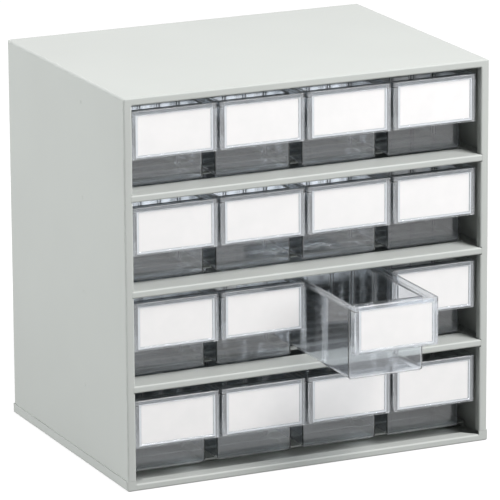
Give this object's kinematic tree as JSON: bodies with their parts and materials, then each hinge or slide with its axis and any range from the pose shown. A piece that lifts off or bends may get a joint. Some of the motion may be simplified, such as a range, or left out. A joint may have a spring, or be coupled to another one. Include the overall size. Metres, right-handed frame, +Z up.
{
  "type": "parts bin cabinet",
  "caption": "Desktop sheet-steel cabinet with clear pull-out bins on shelves, each with a label plate over a finger grip.",
  "frame": {"origin": "centre of the face that the cabinet stands on, midway between the front and the rear flanges", "axes": "+X to the right as seen from the front, +Y towards the rear, +Z up"},
  "size_m": [0.4024, 0.4002, 0.4],
  "materials": {
    "grey_paint": "light grey powder coat, satin, very fine texture",
    "clear_plastic": "clear moulded polystyrene, glossy",
    "label_card": "plain white card, matt"
  },
  "bodies": {
    "cabinet": {"casing": "grey_paint", "base_tray": "grey_paint", "bottom_panel": "grey_paint", "shelf_1": "grey_paint", "shelf_2": "grey_paint", "shelf_3": "grey_paint", "rear_strip_1": "grey_paint", "rear_strip_2": "grey_paint", "rear_strip_3": "grey_paint", "rear_strip_4": "grey_paint"},
    "drawer_r1_c1": {"bin_r1_c1": "clear_plastic", "label_r1_c1": "label_card"},
    "drawer_r1_c2": {"bin_r1_c2": "clear_plastic", "label_r1_c2": "label_card"},
    "drawer_r1_c3": {"bin_r1_c3": "clear_plastic", "label_r1_c3": "label_card"},
    "drawer_r1_c4": {"bin_r1_c4": "clear_plastic", "label_r1_c4": "label_card"},
    "drawer_r2_c1": {"bin_r2_c1": "clear_plastic", "label_r2_c1": "label_card"},
    "drawer_r2_c2": {"bin_r2_c2": "clear_plastic", "label_r2_c2": "label_card"},
    "drawer_r2_c3": {"bin_r2_c3": "clear_plastic", "label_r2_c3": "label_card"},
    "drawer_r2_c4": {"bin_r2_c4": "clear_plastic", "label_r2_c4": "label_card"},
    "drawer_r3_c1": {"bin_r3_c1": "clear_plastic", "label_r3_c1": "label_card"},
    "drawer_r3_c2": {"bin_r3_c2": "clear_plastic", "label_r3_c2": "label_card"},
    "drawer_r3_c3": {"bin_r3_c3": "clear_plastic", "label_r3_c3": "label_card"},
    "drawer_r3_c4": {"bin_r3_c4": "clear_plastic", "label_r3_c4": "label_card"},
    "drawer_r4_c1": {"bin_r4_c1": "clear_plastic", "label_r4_c1": "label_card"},
    "drawer_r4_c2": {"bin_r4_c2": "clear_plastic", "label_r4_c2": "label_card"},
    "drawer_r4_c3": {"bin_r4_c3": "clear_plastic", "label_r4_c3": "label_card"},
    "drawer_r4_c4": {"bin_r4_c4": "clear_plastic", "label_r4_c4": "label_card"}
  },
  "joints": [
    {"name": "slide_r1_c1", "type": "slide", "parent": "cabinet", "child": "drawer_r1_c1", "axis": [0, -1, 0], "range_m": [0, 0.264]},
    {"name": "slide_r1_c2", "type": "slide", "parent": "cabinet", "child": "drawer_r1_c2", "axis": [0, -1, 0], "range_m": [0, 0.264]},
    {"name": "slide_r1_c3", "type": "slide", "parent": "cabinet", "child": "drawer_r1_c3", "axis": [0, -1, 0], "range_m": [0, 0.264]},
    {"name": "slide_r1_c4", "type": "slide", "parent": "cabinet", "child": "drawer_r1_c4", "axis": [0, -1, 0], "range_m": [0, 0.264]},
    {"name": "slide_r2_c1", "type": "slide", "parent": "cabinet", "child": "drawer_r2_c1", "axis": [0, -1, 0], "range_m": [0, 0.264]},
    {"name": "slide_r2_c2", "type": "slide", "parent": "cabinet", "child": "drawer_r2_c2", "axis": [0, -1, 0], "range_m": [0, 0.264]},
    {"name": "slide_r2_c3", "type": "slide", "parent": "cabinet", "child": "drawer_r2_c3", "axis": [0, -1, 0], "range_m": [0, 0.264]},
    {"name": "slide_r2_c4", "type": "slide", "parent": "cabinet", "child": "drawer_r2_c4", "axis": [0, -1, 0], "range_m": [0, 0.264]},
    {"name": "slide_r3_c1", "type": "slide", "parent": "cabinet", "child": "drawer_r3_c1", "axis": [0, -1, 0], "range_m": [0, 0.264]},
    {"name": "slide_r3_c2", "type": "slide", "parent": "cabinet", "child": "drawer_r3_c2", "axis": [0, -1, 0], "range_m": [0, 0.264]},
    {"name": "slide_r3_c3", "type": "slide", "parent": "cabinet", "child": "drawer_r3_c3", "axis": [0, -1, 0], "range_m": [-0.106, 0.158]},
    {"name": "slide_r3_c4", "type": "slide", "parent": "cabinet", "child": "drawer_r3_c4", "axis": [0, -1, 0], "range_m": [0, 0.264]},
    {"name": "slide_r4_c1", "type": "slide", "parent": "cabinet", "child": "drawer_r4_c1", "axis": [0, -1, 0], "range_m": [0, 0.264]},
    {"name": "slide_r4_c2", "type": "slide", "parent": "cabinet", "child": "drawer_r4_c2", "axis": [0, -1, 0], "range_m": [0, 0.264]},
    {"name": "slide_r4_c3", "type": "slide", "parent": "cabinet", "child": "drawer_r4_c3", "axis": [0, -1, 0], "range_m": [0, 0.264]},
    {"name": "slide_r4_c4", "type": "slide", "parent": "cabinet", "child": "drawer_r4_c4", "axis": [0, -1, 0], "range_m": [0, 0.264]}
  ]
}
